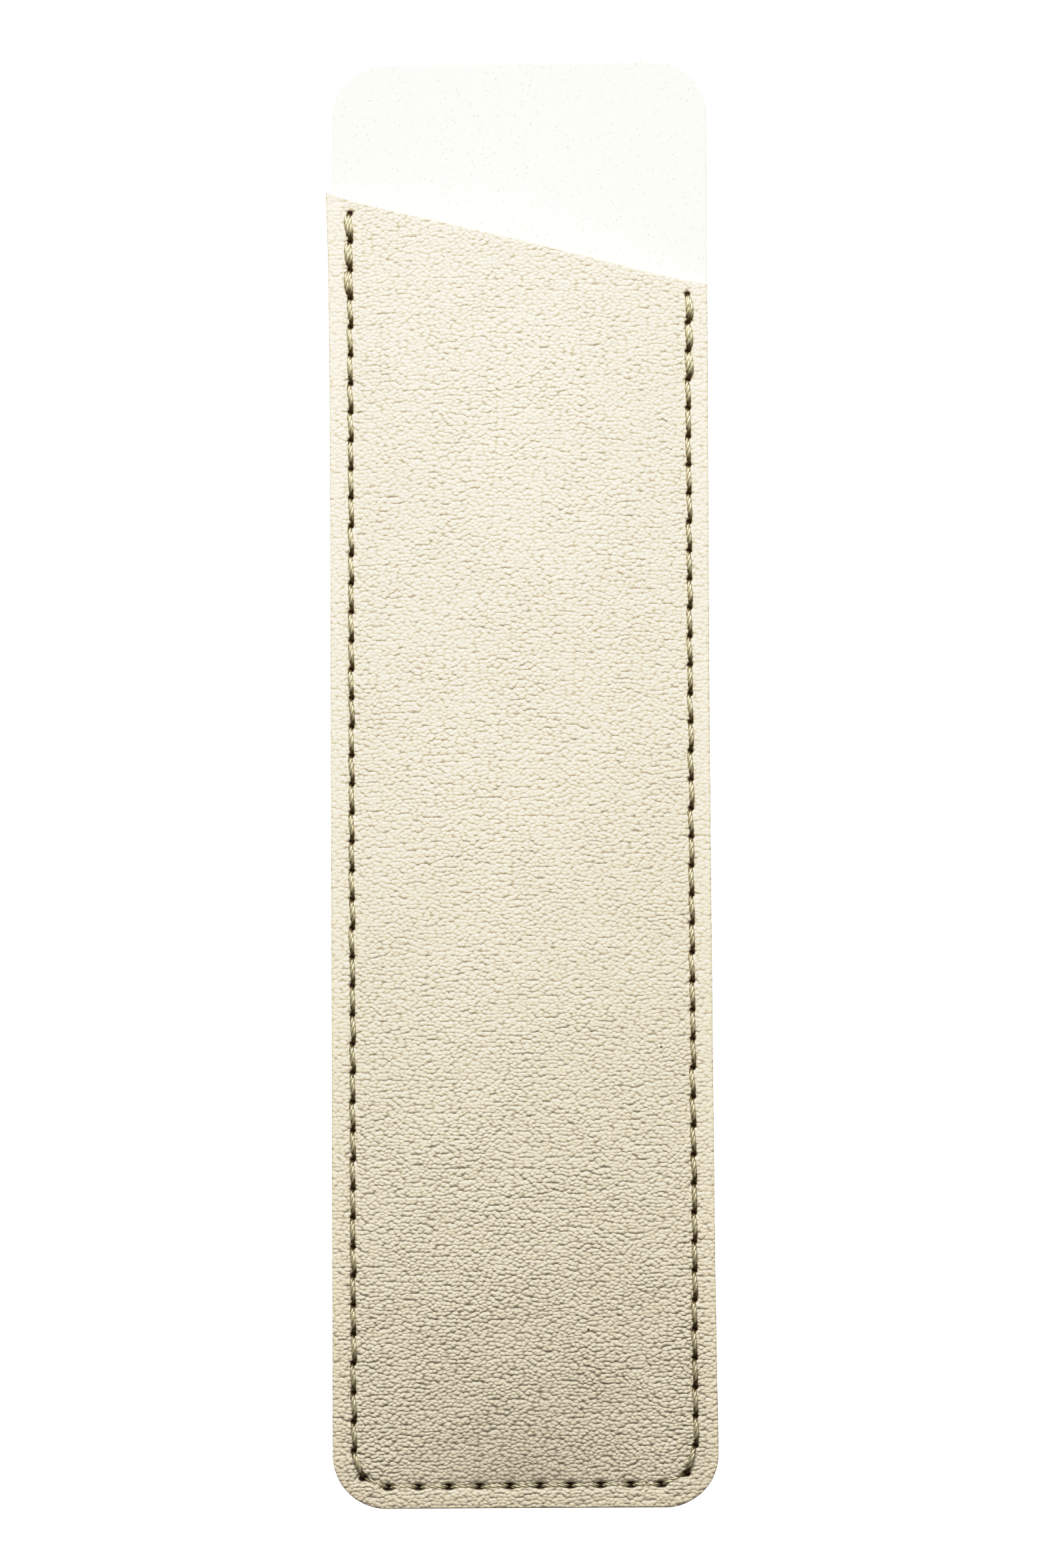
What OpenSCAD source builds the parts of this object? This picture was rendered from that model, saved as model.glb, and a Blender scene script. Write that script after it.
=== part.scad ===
// Flat sleeve for one pen, lying on its back with the slanted mouth towards +Y.
// Two lined leather panels are lockstitched together along both sides and the bottom.
// The back panel runs on past the mouth as a flap, and the front panel bows up over the pocket.
// The origin is the middle of the back face, +Z points out of the grained front, in millimetres.

/* [Panels] */
// Width of both panels
sleeve_w = 40; // [36:0.5:50]
// Length of the back panel, from the bottom edge to the top of the flap
sleeve_l = 152; // [140:1:180]
// Radius that the panels' corners are cut to
corner_r = 5.6; // [4.5:0.1:8]
// Thickness of the grained leather
leather_t = 0.7; // [0.6:0.05:1.2]
// Thickness of the napped lining that is bonded to the leather
lining_t = 0.5; // [0.3:0.05:1]

/* [Mouth] */
// Length of flap that shows above the mouth along the left edge
flap_left = 13.8; // [8:0.1:30]
// Length of flap that shows above the mouth along the right edge
flap_right = 23.5; // [8:0.1:40]
// Depth of the shallow curve in the mouth edge
mouth_dip = 1.1; // [0.4:0.1:4]

/* [Pocket] */
// Gap between the panels half way up the pocket
pocket_gap = 5.0; // [4.4:0.1:8]
// Gap between the panels in the middle of the mouth
mouth_gap = 4.7; // [4.2:0.1:8]
// Length over which the front panel rises from the bottom seam
rise_l = 45; // [30:1:100]

/* [Seam] */
// Distance from the panels' edges to the line of needle holes
seam_inset = 2.2; // [1.9:0.1:3.2]
// Distance from one needle hole to the next
stitch_pitch = 3.0; // [2.2:0.1:4.5]
// Distance from the mouth edge down to the first needle hole
mouth_to_seam = 1.5; // [1:0.1:4]
// Number of stitches that are sewn twice at each end of the seam
tack_stitches = 3; // [1:1:6]

/* [Thread] */
// Radius of the thread where it lies on a panel
thread_r = 0.25; // [0.15:0.01:0.3]
// Clearance round the thread in its grooves, from which those in its holes follow
thread_gap = 0.03; // [0.02:0.01:0.08]

/* [Hidden] */
$fn = 32;

leather_color = [0.91, 0.87, 0.78];
lining_color = [0.97, 0.96, 0.92];
thread_color = [0.45, 0.42, 0.25];

// Levels: the panels meet at meet_z, and the grained front margin lies at face_z
panel_t = leather_t + lining_t;
meet_z = panel_t;
face_z = 2 * panel_t;
half_w = sleeve_w / 2;
half_l = sleeve_l / 2;

// The mouth runs from its left end to its right end along an arc
mouth_left = [-half_w, half_l - flap_left];
mouth_right = [half_w, half_l - flap_right];
mouth_half = norm(mouth_right - mouth_left) / 2;
mouth_arc_r = (mouth_half * mouth_half + mouth_dip * mouth_dip) / (2 * mouth_dip);
mouth_mid = (mouth_left + mouth_right) / 2;
mouth_along = unit(mouth_right - mouth_left);
mouth_out = [-mouth_along.y, mouth_along.x];
mouth_arc_centre = mouth_mid + (mouth_arc_r - mouth_dip) * mouth_out;

// In its needle holes the thread is squeezed to this share of its radius
leg_share = 0.5;
leg_r = leg_share * thread_r;
// Where it bends over the edge of a hole the thread keeps this share
bend_r = 0.8 * thread_r;
// The two threads hook round each other half way through, each this far from the hole's axis
hook_gap = 2 * thread_gap;
hook_side = (2 * leg_r + hook_gap) / sqrt(2);
hook_reach = 1.6 * leg_r;
hole_gap = 3 * thread_gap;
hole_r = norm([hook_side, hook_reach]) + leg_r + hole_gap;
bend_reach = 0.7 * hole_r;
// Tight stitches press a groove into each face, and the back one hides the whole thread
groove_r = thread_r + thread_gap;
front_groove_depth = 0;
back_groove_depth = groove_r;
needle_crown = -0.6 * thread_r;
needle_dive = 0.2 * thread_r;
bobbin_crown = groove_r;
bobbin_dive = groove_r + needle_dive;
thread_sides = 5;

// Corners of the seam line, with one slanted stitch on each side of a corner's middle hole
seam_x = half_w - seam_inset;
seam_bottom = -half_l + seam_inset;
corner_x = half_w - corner_r;
corner_y = -half_l + corner_r;
seam_corner_r = corner_r - seam_inset;
corner_reach = 0.4;
seam_bend = [corner_x + seam_corner_r * cos(45), corner_y - seam_corner_r * sin(45)];
left_start = [-seam_x, mouth_edge_y(-seam_x) - mouth_to_seam];
right_start = [seam_x, mouth_edge_y(seam_x) - mouth_to_seam];
main_run = [
    left_start,
    [-seam_x, corner_y + corner_reach],
    [-seam_bend.x, seam_bend.y],
    [-corner_x + corner_reach, seam_bottom],
    [corner_x - corner_reach, seam_bottom],
    [seam_bend.x, seam_bend.y],
    [seam_x, corner_y + corner_reach],
    right_start
];

// The second pass at each end lies beside the first, with its own holes
tack_aside = 2 * thread_r + thread_gap;
tack_below = 2 * hole_r + thread_gap;
tack_l = tack_stitches * stitch_pitch;
left_tack = tack_run(left_start, -tack_aside);
right_tack = tack_run(right_start, tack_aside);
seam_runs = [main_run, left_tack, right_tack];

// The crown starts just inside the needle holes
crown_margin = seam_inset + hole_r + 0.1;
crown_half = half_w - crown_margin;
crown_bottom = -half_l + crown_margin;
crown_power = 1.1;
rise_power = 3;
// Cells of the crowned sheets across and along, and how they crowd towards the bottom
cells_across = 14;
cells_along = 17;
crowding = 1.7;
// How far cutting shapes run past what they cut
past = 1;

function unit(v) = v / norm(v);
function left_of(v) = [-v.y, v.x];
function square_to(v, t) = unit(v - (v * t) * t);

// Height of the mouth edge at a place across the sleeve
function mouth_edge_y(x) =
    mouth_mid.y + (mouth_right.y - mouth_left.y) * x / sleeve_w
    - mouth_dip * (1 - pow(x / half_w, 2));

function tack_run(start, aside) = [
    start + [aside, -tack_below],
    start + [aside, -tack_below - tack_l]
];

// Gap between the panels at any place, zero along the margins
function crown_across(x) =
    abs(x) >= crown_half ? 0 : pow(cos(90 * abs(x) / crown_half), crown_power);
function crown_rise(y) =
    1 - pow(1 - min(max((y - crown_bottom) / rise_l, 0), 1), rise_power);
function crown_height(y) =
    let (top = mouth_mid.y, share = min(max(y / top, 0), 1))
    pocket_gap + (mouth_gap - pocket_gap) * share;
function gap_at(x, y) = crown_across(x) * crown_rise(y) * crown_height(y);

// Places of the needle holes along a run, evenly spaced between its corners
function stitch_count(a, b) = max(1, round(norm(b - a) / stitch_pitch));
function needle_points(run) = [
    for (i = [0:len(run) - 2])
        let (a = run[i], b = run[i + 1], n = stitch_count(a, b))
            for (k = [0:n - 1]) a + (b - a) * k / n,
    run[len(run) - 1]
];

// One point of a thread's path with its radius: height is measured from where the panels
// meet, up for the needle thread (side 1) and down for the bobbin thread (side -1)
function thread_point(place, height, side, r) = [[place.x, place.y, meet_z + side * height], r];

// The thread dives into a hole, hooks round the other thread and comes up again
function stitch_hook(before, here, after, side, dive) =
    let (
        come = unit(here - before),
        go = unit(after - here),
        along = unit(come + go),
        aside = side * left_of(along)
    ) [
        thread_point(here - bend_reach * come, panel_t - dive, side, bend_r),
        thread_point(here - hook_reach * along + hook_side * aside, 0, side, leg_r),
        thread_point(here, -hook_side, side, leg_r),
        thread_point(here + hook_reach * along - hook_side * aside, 0, side, leg_r),
        thread_point(here + bend_reach * go, panel_t - dive, side, bend_r)
    ];

function thread_path(run, side, crown, dive) =
    let (
        p = needle_points(run),
        last = len(p) - 1,
        first_way = unit(p[1] - p[0]),
        last_way = unit(p[last] - p[last - 1])
    ) [
        thread_point(p[0], leg_r, side, leg_r),
        thread_point(p[0] + bend_reach * first_way, panel_t - dive, side, bend_r),
        for (i = [1:last]) each concat(
            [thread_point((p[i - 1] + p[i]) / 2, panel_t - crown, side, thread_r)],
            i < last ? stitch_hook(p[i - 1], p[i], p[i + 1], side, dive) : []
        ),
        thread_point(p[last] - bend_reach * last_way, panel_t - dive, side, bend_r),
        thread_point(p[last], leg_r, side, leg_r)
    ];

// Round bar swept along points with radii, as rings joined by triangles
module swept_thread(path) {
    n = len(path);
    p = [for (step = path) step[0]];
    way = [
        for (i = [0:n - 1])
            unit((i > 0 ? unit(p[i] - p[i - 1]) : [0, 0, 0])
                + (i < n - 1 ? unit(p[i + 1] - p[i]) : [0, 0, 0]))
    ];
    across = cross(way[0], p[2] - p[0]);
    ring_x = [
        for (i = 0, v = square_to(across, way[0]); i < n;
             i = i + 1, v = i < n ? square_to(v, way[i]) : v) v
    ];
    points = [
        for (i = [0:n - 1], k = [0:thread_sides - 1])
            let (turn = 360 * k / thread_sides)
                p[i] + path[i][1] * (cos(turn) * ring_x[i] + sin(turn) * cross(way[i], ring_x[i]))
    ];
    walls = [
        for (i = [0:n - 2], k = [0:thread_sides - 1])
            let (
                a = i * thread_sides + k,
                b = i * thread_sides + (k + 1) % thread_sides,
                c = b + thread_sides,
                d = a + thread_sides
            )
                each [[a, d, c], [a, c, b]]
    ];
    start_cap = [for (k = [0:thread_sides - 1]) k];
    end_cap = [for (k = [thread_sides - 1:-1:0]) (n - 1) * thread_sides + k];
    polyhedron(points, concat(walls, [start_cap, end_cap]));
}

// Sheet between two levels that follows the crown of the front panel
module crowned_sheet(z_low, z_high) {
    xs = concat(
        [-half_w - past],
        [for (i = [0:cells_across]) crown_half * (2 * i / cells_across - 1)],
        [half_w + past]
    );
    crown_l = max(mouth_left.y, mouth_right.y) + past - crown_bottom;
    ys = concat(
        [-half_l - past],
        [for (j = [0:cells_along]) crown_bottom + crown_l * pow(j / cells_along, crowding)]
    );
    nx = len(xs);
    ny = len(ys);
    points = [
        for (z = [z_low, z_high], x = xs, y = ys) [x, y, z + gap_at(x, y)]
    ];
    function low(i, j) = i * ny + j;
    function high(i, j) = nx * ny + low(i, j);
    cells = [
        for (i = [0:nx - 2], j = [0:ny - 2]) each [
            [low(i, j), low(i + 1, j), low(i + 1, j + 1)],
            [low(i, j), low(i + 1, j + 1), low(i, j + 1)],
            [high(i, j), high(i + 1, j + 1), high(i + 1, j)],
            [high(i, j), high(i, j + 1), high(i + 1, j + 1)]
        ]
    ];
    end_walls = [
        for (i = [0:nx - 2]) each [
            [low(i, 0), high(i, 0), high(i + 1, 0), low(i + 1, 0)],
            [low(i, ny - 1), low(i + 1, ny - 1), high(i + 1, ny - 1), high(i, ny - 1)]
        ]
    ];
    side_walls = [
        for (j = [0:ny - 2]) each [
            [low(0, j), low(0, j + 1), high(0, j + 1), high(0, j)],
            [low(nx - 1, j), high(nx - 1, j), high(nx - 1, j + 1), low(nx - 1, j + 1)]
        ]
    ];
    polyhedron(points, concat(cells, end_walls, side_walls));
}

// Outline that the back panel is cut to
module back_outline() {
    square([sleeve_w - 2 * corner_r, sleeve_l], center = true);
    square([sleeve_w, sleeve_l - 2 * corner_r], center = true);
    for (x = [-corner_x, corner_x], y = [corner_y, -corner_y])
        translate([x, y]) circle(r = corner_r);
}

// The same outline, cut off along the mouth
module front_outline() {
    difference() {
        union() {
            translate([-half_w, corner_y])
                square([sleeve_w, half_l - min(flap_left, flap_right) - corner_y + past]);
            translate([-corner_x, -half_l]) square([2 * corner_x, 2 * corner_r]);
            for (x = [-corner_x, corner_x])
                translate([x, corner_y]) circle(r = corner_r);
        }
        translate(mouth_arc_centre) circle(r = mouth_arc_r);
    }
}

module needle_holes() {
    for (run = seam_runs, place = needle_points(run))
        translate([place.x, place.y, -past])
            cylinder(h = face_z + 2 * past, r = hole_r);
}

// Grooves under the stitches of one face: side 1 is the front face and -1 the back face
module stitch_grooves(side, depth) {
    for (run = seam_runs, i = [0:len(run) - 2]) {
        way = run[i + 1] - run[i];
        translate([run[i].x, run[i].y, meet_z + side * (panel_t - depth)])
            rotate([0, 0, atan2(way.y, way.x)])
                rotate([90, 0, 90])
                    linear_extrude(norm(way)) {
                        circle(r = groove_r);
                        translate([-groove_r, side > 0 ? 0 : -depth - past])
                            square([2 * groove_r, depth + past]);
                    }
    }
}

module back_leather() {
    color(leather_color)
        difference() {
            linear_extrude(leather_t) back_outline();
            needle_holes();
            stitch_grooves(-1, back_groove_depth);
        }
}

module back_lining() {
    color(lining_color)
        difference() {
            translate([0, 0, leather_t]) linear_extrude(lining_t) back_outline();
            needle_holes();
        }
}

module front_panel_layer(z_low, z_high) {
    intersection() {
        crowned_sheet(z_low, z_high);
        linear_extrude(face_z + pocket_gap + mouth_gap) front_outline();
    }
}

module front_lining() {
    color(lining_color)
        difference() {
            front_panel_layer(meet_z, meet_z + lining_t);
            needle_holes();
        }
}

module front_leather() {
    color(leather_color)
        difference() {
            front_panel_layer(meet_z + lining_t, face_z);
            needle_holes();
            stitch_grooves(1, front_groove_depth);
        }
}

module bobbin_thread() {
    color(thread_color)
        for (run = seam_runs)
            swept_thread(thread_path(run, -1, bobbin_crown, bobbin_dive));
}

module needle_thread() {
    color(thread_color)
        for (run = seam_runs)
            swept_thread(thread_path(run, 1, needle_crown, needle_dive));
}

back_leather();
back_lining();
front_lining();
front_leather();
bobbin_thread();
needle_thread();
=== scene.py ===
"""Dresses the packed pen sleeve in grained leather, napped lining and twisted thread.

Shapes are in metres and in the frame of the packed model: the sleeve lies on its back, with its
mouth towards +Y and its grained front facing +Z. Materials work in millimetres.
"""

import math
import random

import bmesh
import bpy
from mathutils import Matrix, Vector, noise
from mathutils.kdtree import KDTree


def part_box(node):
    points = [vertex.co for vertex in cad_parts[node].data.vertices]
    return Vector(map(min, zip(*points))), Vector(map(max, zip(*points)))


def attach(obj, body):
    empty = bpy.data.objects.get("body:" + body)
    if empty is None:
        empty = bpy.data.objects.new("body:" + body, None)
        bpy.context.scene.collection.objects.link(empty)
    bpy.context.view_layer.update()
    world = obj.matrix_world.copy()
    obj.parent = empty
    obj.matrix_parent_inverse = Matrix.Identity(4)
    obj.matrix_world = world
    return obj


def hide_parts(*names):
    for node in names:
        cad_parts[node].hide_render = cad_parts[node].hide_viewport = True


bl_info = {
    "name": "Pen Sleeve",
    "version": (1, 0, 0),
    "blender": (4, 5, 0),
    "location": "View3D > Sidebar > Pen Sleeve",
    "description": "Dresses a pen sleeve in grained leather, napped lining and twisted thread",
    "category": "Add Mesh",
}

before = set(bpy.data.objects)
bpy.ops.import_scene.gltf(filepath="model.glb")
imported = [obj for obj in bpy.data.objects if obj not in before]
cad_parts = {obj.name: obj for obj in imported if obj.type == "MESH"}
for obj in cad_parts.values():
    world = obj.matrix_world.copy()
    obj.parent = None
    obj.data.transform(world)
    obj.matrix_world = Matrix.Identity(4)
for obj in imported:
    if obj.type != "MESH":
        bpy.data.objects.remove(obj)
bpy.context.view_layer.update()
BACK_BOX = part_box("back_leather")
BODY = "root"
MM = 0.001

# Distances from a cut edge at which the first rows and columns of a panel's grid lie
EDGE_STEPS = [step * MM for step in (0, 0.03, 0.08, 0.16, 0.28, 0.5)]
# Cells of the panels' grids, and how far from the seam the finer cells reach
LEATHER_CELL = 0.47 * MM
LINING_CELL = 0.7 * MM
SEAM_STRIP = 0.95 * MM
# Layers that lie on each other keep this far apart
LAYER_GAP = 0.01 * MM
# Stands for the distance to the seam in the middle of a panel, where none is needed
FAR = 1.0
SHARP_ANGLE = math.radians(42)
# Doubles in the threads' meshes lie nearer to each other than this
DOUBLES = 1e-7

# In millimetres: width and height of the grain's pebbles and of the wrinkles inside them
PEBBLE = (1.15, 0.85)
WRINKLE = (0.47, 0.38)
# In millimetres: how far pebbles, their borders, wrinkles and fine noise stand out at most
PEBBLE_LIFT, BORDER_LIFT, WRINKLE_LIFT, FINE_LIFT = 0.03, 0.012, 0.132, 0.015
# Places in millimetres between which the grain grows shallower upwards, and its two depths
GRAIN_DEPTHS = (-72, -12, 2.2, 1.28)
# Places in millimetres of the two dark specks in the grain
SPECKS = ((14.46, -28.2), (6.65, -57.4))
# In millimetres: width and height of the patches of lining that have one pore each
PORE_SPACING = (1 / 1.4, 1 / 1.1)
# In millimetres: the heights between which the thread comes out of its painted shade, in front and
# behind
UNSHADED_IN_FRONT = (2.48, 2.93)
UNSHADED_BEHIND = (0.42, 0.1)
# In millimetres: where the pulled-in bottom row begins, and how much higher it counts than it lies
# for the painted shade
ROW_START = (-72.2, -73.2)
ROW_LIFT = 0.48

# Brightness at the end of the tone curve, and pairs of a brightness and how bright it is shown
WHITE = 2.0
SHOULDER = (
    (0.3, 0.3), (0.6, 0.6), (0.77, 0.745), (0.95, 0.835), (1.15, 0.89), (1.4, 0.965), (1.7, 1.0)
)


def number(name, description, default, **more):
    return bpy.props.FloatProperty(name=name, description=description, default=default, **more)


def length(name, description, millimetres):
    return number(name, description, millimetres * MM, unit="LENGTH", precision=5)


def angle(name, description, degrees):
    return number(name, description, math.radians(degrees), unit="ROTATION")


def power(name, description, watts):
    return number(name, description, watts, unit="POWER")


def colour(name, description, default):
    return bpy.props.FloatVectorProperty(
        name=name, description=description, default=default, subtype="COLOR", min=0, max=1
    )


class PenSleevePanels(bpy.types.PropertyGroup):
    """Sizes of the two lined panels"""

    width: length("Width", "Width of both panels", (BACK_BOX[1].x - BACK_BOX[0].x) / MM)
    length: length("Length", "Length of the back panel", (BACK_BOX[1].y - BACK_BOX[0].y) / MM)
    corner_radius: length("Corner radius", "Radius that the corners are cut to", 5.6)
    leather: length("Leather", "Thickness of the grained leather", 0.7)
    lining: length("Lining", "Thickness of the napped lining", 0.5)
    mouth_left: length("Mouth, left", "Height of the mouth's left end above the middle", 62.2)
    mouth_right: length("Mouth, right", "Height of the mouth's right end above the middle", 52.3)
    mouth_dip: length("Mouth dip", "Depth of the shallow curve in the mouth edge", 1.0)
    pocket_gap: length("Pocket gap", "Gap between the panels half way up", 5.0)
    mouth_gap: length("Mouth gap", "Gap between the panels at the mouth", 4.7)
    rise: length("Rise", "Length over which the front panel rises from the bottom seam", 45)
    flare: length("Flare", "How far the front panel stands out at the mouth's left end", 0.4)
    flap_trim: length("Flap trim", "How much narrower the flap's left side is cut", 0.29)
    top_skew: length("Top skew", "How much longer the flap is on its right side", 0.4)
    waist: length("Waist", "How far the right edge draws in half way up", 0.16)


class PenSleeveSeam(bpy.types.PropertyGroup):
    """Sizes of the lockstitch seam"""

    inset: length("Inset", "Distance from the panels' edges to the needle holes", 2.2)
    pitch: length("Pitch", "Distance from one needle hole to the next", 3.0)
    from_mouth: length("From mouth", "Distance from the mouth edge to the first hole", 1.5)
    tack_stitches: bpy.props.IntProperty(
        name="Tack stitches", description="Stitches sewn twice at each end", default=3, min=0
    )
    thread_radius: length("Thread radius", "Radius of the twisted thread", 0.285)
    twist: length("Twist", "Length of thread in which its plies turn once", 2.3)
    arch: length("Arch", "Height that a side stitch's middle stands above the leather", 0.28)
    sink: length("Sink", "Depth to which the bottom row's thread is pulled in", 0.28)
    pit_radius: length("Pit radius", "Radius of the dimple at a needle hole", 0.31)
    pit_depth: length("Pit depth", "Depth of the dimple at a needle hole", 0.42)


class PenSleeveFinish(bpy.types.PropertyGroup):
    """Colours of the sleeve's materials"""

    leather: colour("Leather", "Top of the grain", (0.79, 0.69, 0.5))
    # Partly the darker tone real creases have, partly painted shade in them; also tints random
    # patches and edge fibres
    crease_tone_and_shade: colour("Crease", "Bottom of the grain's creases", (0.45, 0.375, 0.262))
    cut_edge: colour("Cut edge", "Raw edge of the leather", (0.9, 0.8, 0.6))
    # Painted light: the flat margins are painted paler, as if they caught more light and glare than
    # the crowned pocket
    margin: colour("Margin", "Leather between the seam and the cut edges", (0.845, 0.73, 0.525))
    # A pale line along the cut edges: partly the raw edge, partly a painted highlight on the
    # rounded edge
    lip: colour("Lip", "Line along the cut edges", (0.92, 0.78, 0.52))
    lining: colour("Lining", "Napped inner side", (0.875, 0.875, 0.765))
    pore: colour("Pore", "Fine pores of the lining", (0.42, 0.38, 0.28))
    thread: colour("Thread", "Twisted thread", (0.74, 0.68, 0.43))
    # Painted shade: in the grooves between the plies and where the thread dives into the leather
    thread_painted_shade: colour("Thread shade", "Grooves between the plies", (0.075, 0.048, 0.012))
    # Painted shade inside a needle hole; also the colour of the two real dark specks
    pit: colour("Pit", "Inside of a needle hole", (0.05, 0.028, 0.016))


class PenSleeveStudio(bpy.types.PropertyGroup):
    """The camera, the lights and the floor"""

    distance: length("Camera distance", "From the camera to the middle of the sleeve", 500)
    tilt: angle("Camera tilt", "Lean of the view towards the bottom seam", 3.5)
    roll: angle("Camera roll", "Turn of the view about its own axis", -0.295)
    aim_x: length("Aim, across", "Where the camera aims, across the sleeve", 0.124)
    aim_y: length("Aim, along", "Where the camera aims, along the sleeve", -0.426)
    lens: number("Lens", "Focal length in millimetres, on a 36 mm sensor", 108.93)
    key_power: power("Key light", "Power of the low light beyond the flap", 4.15)
    top_power: power("Top light", "Power of the beam on the mouth half", 9.1)
    top_cone: angle("Top cone", "Width of the beam on the mouth half", 22.5)
    edge_power: power("Edge lights", "Power of each low light on the cut edges", 0.42)
    fill: number("Fill", "Strength of the light that comes from all round", 0.06)
    floor_size: length("Floor", "Width of the floor", 3000)


def clamped(value):
    return min(max(value, 0), 1)


def bell(distance, reach, steepness=2):
    """1 at no distance, fading to 0 beyond the reach."""
    return math.exp(-((distance / reach) ** steepness))


def turned_left(way):
    return Vector((-way.y, way.x))


def stations(span, cell):
    """Places along a span, close together at both ends and a cell apart between."""
    inner = span - 2 * EDGE_STEPS[-1]
    count = max(2, round(inner / cell))
    middle = [EDGE_STEPS[-1] + inner * k / count for k in range(count + 1)]
    return EDGE_STEPS[:-1] + middle + [span - step for step in reversed(EDGE_STEPS[:-1])]


def point_to_segment(x, y, a, b):
    along = b - a
    share = clamped(((x - a.x) * along.x + (y - a.y) * along.y) / along.length_squared)
    return math.hypot(x - a.x - along.x * share, y - a.y - along.y * share)


class SleeveForm:
    """The sleeve's outlines, seam and heights, worked out from its settings."""

    # How far the seam's bends cut its square corners, and where the bottom row starts and ends
    BEND_CUT = 1.0 * MM
    FOOT_INSET = 3.6 * MM
    # How much higher the bends lie than they should: the left one's top, and the right one's
    # bottom, middle and top
    LEFT_RISE = 0.4 * MM
    RIGHT_RISES = (0.2 * MM, 0.3 * MM, 0.8 * MM)

    # Height and length of the waves in the cut side edges
    CUT_WAVER = 0.03 * MM
    CUT_WAVE = 0.9 * MM
    # Where the right edge draws in and over what length, and how far its foot stands out
    WAIST_Y = 8 * MM
    WAIST_REACH = 45 * MM
    FOOT_FLARE = 0.22 * MM
    FOOT_REACH = 18 * MM
    # Length over which the left edge's flare at the mouth dies away
    FLARE_REACH = 9 * MM
    # Share of the flap's trim that the back panel has at its bottom
    LOW_TRIM = 0.3

    # Reach of the margins that are painted paler as painted light, and how much of the mouth edge
    # has none
    MARGIN_REACH = 1.9 * MM
    MOUTH_CLEAR = 4 * MM
    # Farther than this inside the seam a panel counts as far from it
    SEAM_NEAR = 4 * MM

    # The panels stay together this far inside the seam, then part along these curves
    FLAT_STRIP = 0.6 * MM
    CROWN_POWER = 1.1
    RISE_POWER = 3
    SLOPE_STEP = 0.2 * MM

    # Height above the bottom row where the stitches stop sinking, and the length of that change
    ROW_TOP = 2.2 * MM
    ROW_FADE = 1.6 * MM
    # The bottom row's pits are longer and wider by these shares
    PIT_STRETCH = 0.45
    PIT_GROWTH = 0.12
    PIT_STEEPNESS = 3

    # The valley along the seam: its reach, its depth, what holes and the bottom row add, its width
    PULL_REACH = 2.4 * MM
    VALLEY = 0.05 * MM
    VALLEY_AT_HOLE = 0.1 * MM
    VALLEY_AT_ROW = 0.09 * MM
    VALLEY_WIDTH = 0.62 * MM
    ROW_NARROWING = 0.18 * MM
    HOLE_REACH = 0.75 * MM

    # Heights, lengths and noise slices of the leather's broad and small unevenness
    BROAD_HEIGHT, BROAD_WAVE, BROAD_SLICE = 0.05 * MM, 14 * MM, 0.3
    SMALL_HEIGHT, SMALL_WAVE, SMALL_SLICE = 0.014 * MM, 2.6 * MM, 0.7
    SMALL_SQUASH = 1.6

    def __init__(self, scene):
        self.panels = scene.pen_sleeve_panels
        self.seam = scene.pen_sleeve_seam
        self.half_width = self.panels.width / 2
        self.bottom = -self.panels.length / 2
        self.panel = self.panels.leather + self.panels.lining
        self.face = 2 * self.panel
        self.seam_x = self.half_width - self.seam.inset
        self.seam_bottom = self.bottom + self.seam.inset
        self.corners = self.seam_corners()
        self.holes = self.needle_holes(self.corners)
        self.hole_tree = KDTree(len(self.holes))
        for index, hole in enumerate(self.holes):
            self.hole_tree.insert((hole.x, hole.y, 0), index)
        self.hole_tree.balance()

    def seam_corners(self):
        """The seam's start, its bends round the bottom corners and its end."""
        middle = self.bottom + self.panels.corner_radius
        bend_x = self.seam_x - self.BEND_CUT
        bend_y = self.seam_bottom + self.BEND_CUT
        foot_x = self.seam_x - self.FOOT_INSET
        foot_rise, bend_rise, side_rise = self.RIGHT_RISES
        left = [
            Vector((-self.seam_x, self.mouth(-self.seam_x) - self.seam.from_mouth)),
            Vector((-self.seam_x, middle + self.LEFT_RISE)),
            Vector((-bend_x, bend_y)),
            Vector((-foot_x, self.seam_bottom)),
        ]
        right = [
            Vector((foot_x, self.seam_bottom + foot_rise)),
            Vector((bend_x, bend_y + bend_rise)),
            Vector((self.seam_x, middle + side_rise)),
            Vector((self.seam_x, self.mouth(self.seam_x) - self.seam.from_mouth)),
        ]
        return left + right

    def needle_holes(self, corners):
        """Holes evenly spaced between the corners of a run."""
        holes = []
        for a, b in zip(corners, corners[1:]):
            count = max(1, round((b - a).length / self.seam.pitch))
            holes += [a.lerp(b, k / count) for k in range(count)]
        return holes + [corners[-1]]

    def mouth(self, x):
        """Height of the mouth edge, a shallow curve on a slant."""
        panels = self.panels
        share = x / panels.width + 0.5
        slant = panels.mouth_left + (panels.mouth_right - panels.mouth_left) * share
        return slant - panels.mouth_dip * (1 - (x / self.half_width) ** 2)

    def flap_top(self, x):
        return -self.bottom + self.panels.top_skew * (x / self.panels.width + 0.5)

    def side(self, sign, y, front):
        """Place of a cut side edge before its corners are rounded."""
        waver = noise.noise(Vector((sign, y / self.CUT_WAVE, 0)))
        return self.even_side(sign, y, front) + self.CUT_WAVER * waver

    def even_side(self, sign, y, front):
        """Place of a side edge without the small waves of its cut."""
        panels = self.panels
        if sign > 0:
            waist = panels.waist * bell(y - self.WAIST_Y, self.WAIST_REACH)
            foot = self.FOOT_FLARE * bell(y - self.bottom, self.FOOT_REACH)
            return self.half_width - waist + foot
        if front:
            below = panels.mouth_left - y
            return -self.half_width - panels.flare * math.exp(-max(below, 0) / self.FLARE_REACH)
        share = clamped((y - self.bottom) / panels.length)
        trim = panels.flap_trim * (self.LOW_TRIM + (1 - self.LOW_TRIM) * share)
        return -self.half_width + trim

    def top(self, x, front):
        return self.mouth(x) if front else self.flap_top(x)

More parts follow.
